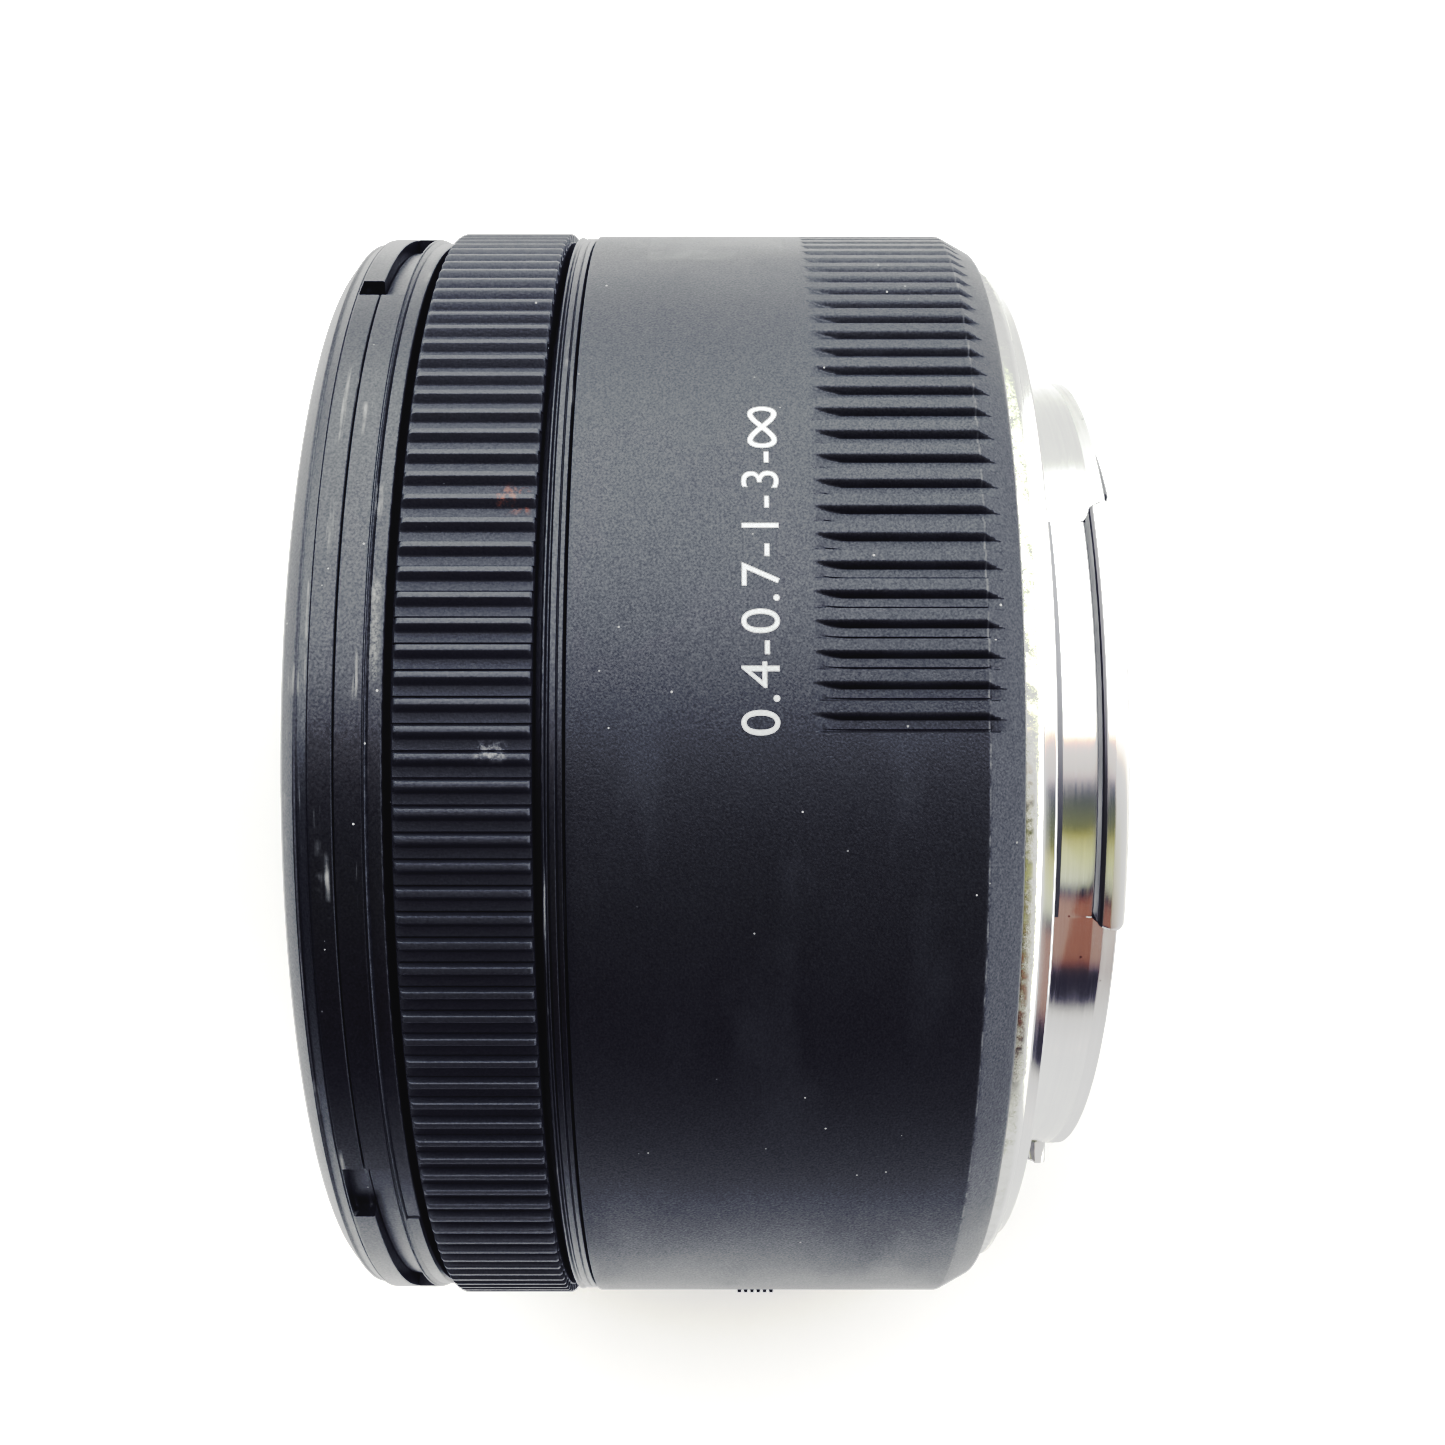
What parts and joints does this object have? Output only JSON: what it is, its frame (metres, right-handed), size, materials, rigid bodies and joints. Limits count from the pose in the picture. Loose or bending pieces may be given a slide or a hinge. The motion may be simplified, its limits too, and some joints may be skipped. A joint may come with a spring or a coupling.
{
  "type": "prime camera lens",
  "caption": "Autofocus prime camera lens with a ribbed focus ring, an extending inner barrel, an iris diaphragm and a metal bayonet mount.",
  "frame": {"origin": "centre of the mount flange's seat, on the optical axis", "axes": "+Y along the optical axis, towards the camera body; +Z through the distance mark; +X towards the mode switch"},
  "size_m": [0.07, 0.045, 0.0692],
  "materials": {
    "satin_black_plastic": "satin, fine moulded texture",
    "gloss_black_plastic": "semi-gloss",
    "ribbed_ring_plastic": "satin, ribbed",
    "inner_black_plastic": "matt anti-reflection",
    "grey_plastic": "matt",
    "white_gear_plastic": "satin",
    "mount_metal": "polished, worn and lightly pitted",
    "steel": "brushed",
    "cam_aluminium": "turned",
    "brass": "machined",
    "gold_contacts": "gold plated",
    "amber_flex": "satin film",
    "green_board": "solder mask",
    "index_red": "gloss",
    "encoder_foil": "etched lines",
    "lens_glass": "polished with an anti-reflection coating",
    "blade_steel": "blackened"
  },
  "bodies": {
    "lens_body": {"front_trim_ring": "gloss_black_plastic", "hood_bayonet_ring": "gloss_black_plastic", "front_collar": "gloss_black_plastic", "main_barrel": "satin_black_plastic", "guide_barrel": "grey_plastic", "mount_ring": "mount_metal", "mount_screw_1": "steel", "mount_screw_2": "steel", "mount_screw_3": "steel", "mount_screw_4": "steel", "rear_baffle": "inner_black_plastic", "rear_cover": "inner_black_plastic", "contact_block": "inner_black_plastic", "contact_strip": "gold_contacts", "contact_flex": "amber_flex", "circuit_board": "green_board", "controller_chip": "inner_black_plastic", "focus_sensor": "grey_plastic", "switch_panel": "satin_black_plastic", "mode_switch_body": "inner_black_plastic", "index_dot": "index_red", "focus_motor": "steel", "gear_bracket": "grey_plastic"},
    "focus_ring": {"focus_ring": "ribbed_ring_plastic", "encoder_strip": "encoder_foil"},
    "mode_switch": {"mode_switch_knob": "satin_black_plastic"},
    "focus_drive": {"cam_ring": "cam_aluminium", "drive_gear_ring": "white_gear_plastic"},
    "idler": {"idler_gear": "white_gear_plastic"},
    "motor_shaft": {"motor_pinion": "brass"},
    "inner_barrel": {"inner_barrel": "inner_black_plastic", "front_bezel": "inner_black_plastic", "front_cell": "inner_black_plastic", "front_retaining_ring": "steel", "glass_1": "lens_glass", "glass_2": "lens_glass", "glass_3": "lens_glass", "glass_4": "lens_glass", "glass_5": "lens_glass", "glass_6": "lens_glass", "rear_cell": "inner_black_plastic", "rear_retaining_ring": "steel", "cam_pin_1": "steel", "cam_pin_2": "steel", "cam_pin_3": "steel", "diaphragm_base": "inner_black_plastic", "diaphragm_cover": "inner_black_plastic", "diaphragm_motor": "steel"},
    "diaphragm_ring": {"diaphragm_drive_ring": "white_gear_plastic"},
    "diaphragm_shaft": {"diaphragm_pinion": "brass"},
    "blade_1": {"blade_1": "blade_steel"},
    "blade_2": {"blade_2": "blade_steel"},
    "blade_3": {"blade_3": "blade_steel"},
    "blade_4": {"blade_4": "blade_steel"},
    "blade_5": {"blade_5": "blade_steel"},
    "blade_6": {"blade_6": "blade_steel"},
    "blade_7": {"blade_7": "blade_steel"}
  },
  "joints": [
    {"name": "focus_ring_turn", "type": "hinge", "parent": "lens_body", "child": "focus_ring", "pos_m": [0, -0.03, 0], "axis": [0, 1, 0], "continuous": true},
    {"name": "focus_drive_turn", "type": "hinge", "parent": "lens_body", "child": "focus_drive", "pos_m": [0, -0.024, 0], "axis": [0, 1, 0], "range_deg": [0, 110]},
    {"name": "inner_barrel_slide", "type": "slide", "parent": "lens_body", "child": "inner_barrel", "axis": [0, -1, 0], "range_m": [0, 0.0105]},
    {"name": "idler_turn", "type": "hinge", "parent": "lens_body", "child": "idler", "pos_m": [-0.00821, -0.014, -0.02255], "axis": [0, 1, 0], "range_deg": [0, 990]},
    {"name": "motor_turn", "type": "hinge", "parent": "lens_body", "child": "motor_shaft", "pos_m": [-0.01477, -0.0133, -0.01892], "axis": [0, 1, 0], "range_deg": [-1980, 0]},
    {"name": "mode_switch_slide", "type": "slide", "parent": "lens_body", "child": "mode_switch", "axis": [0, 1, 0], "range_m": [0, 0.0036]},
    {"name": "diaphragm_ring_turn", "type": "hinge", "parent": "inner_barrel", "child": "diaphragm_ring", "pos_m": [0, -0.0183, 0], "axis": [0, 1, 0], "range_deg": [0, 40]},
    {"name": "diaphragm_pinion_turn", "type": "hinge", "parent": "inner_barrel", "child": "diaphragm_shaft", "pos_m": [0.00951, -0.0183, 0.02039], "axis": [0, 1, 0], "range_deg": [-560, 0]},
    {"name": "blade_1_turn", "type": "hinge", "parent": "inner_barrel", "child": "blade_1", "pos_m": [0, -0.02, 0.0182], "axis": [0, 1, 0], "range_deg": [0, 32]},
    {"name": "blade_2_turn", "type": "hinge", "parent": "inner_barrel", "child": "blade_2", "pos_m": [0.01423, -0.02, 0.01135], "axis": [0, 1, 0], "range_deg": [0, 32]},
    {"name": "blade_3_turn", "type": "hinge", "parent": "inner_barrel", "child": "blade_3", "pos_m": [0.01774, -0.02, -0.00405], "axis": [0, 1, 0], "range_deg": [0, 32]},
    {"name": "blade_4_turn", "type": "hinge", "parent": "inner_barrel", "child": "blade_4", "pos_m": [0.0079, -0.02, -0.0164], "axis": [0, 1, 0], "range_deg": [0, 32]},
    {"name": "blade_5_turn", "type": "hinge", "parent": "inner_barrel", "child": "blade_5", "pos_m": [-0.0079, -0.02, -0.0164], "axis": [0, 1, 0], "range_deg": [0, 32]},
    {"name": "blade_6_turn", "type": "hinge", "parent": "inner_barrel", "child": "blade_6", "pos_m": [-0.01774, -0.02, -0.00405], "axis": [0, 1, 0], "range_deg": [0, 32]},
    {"name": "blade_7_turn", "type": "hinge", "parent": "inner_barrel", "child": "blade_7", "pos_m": [-0.01423, -0.02, 0.01135], "axis": [0, 1, 0], "range_deg": [0, 32]}
  ],
  "couplings": [
    {"joint": "inner_barrel_slide", "follows": "focus_drive_turn", "m_per_rad": 0.005469},
    {"joint": "idler_turn", "follows": "focus_drive_turn", "ratio": 9},
    {"joint": "motor_turn", "follows": "focus_drive_turn", "ratio": -18},
    {"joint": "diaphragm_pinion_turn", "follows": "diaphragm_ring_turn", "ratio": -14},
    {"joint": "blade_1_turn", "follows": "diaphragm_ring_turn", "ratio": 0.8},
    {"joint": "blade_2_turn", "follows": "diaphragm_ring_turn", "ratio": 0.8},
    {"joint": "blade_3_turn", "follows": "diaphragm_ring_turn", "ratio": 0.8},
    {"joint": "blade_4_turn", "follows": "diaphragm_ring_turn", "ratio": 0.8},
    {"joint": "blade_5_turn", "follows": "diaphragm_ring_turn", "ratio": 0.8},
    {"joint": "blade_6_turn", "follows": "diaphragm_ring_turn", "ratio": 0.8},
    {"joint": "blade_7_turn", "follows": "diaphragm_ring_turn", "ratio": 0.8}
  ]
}
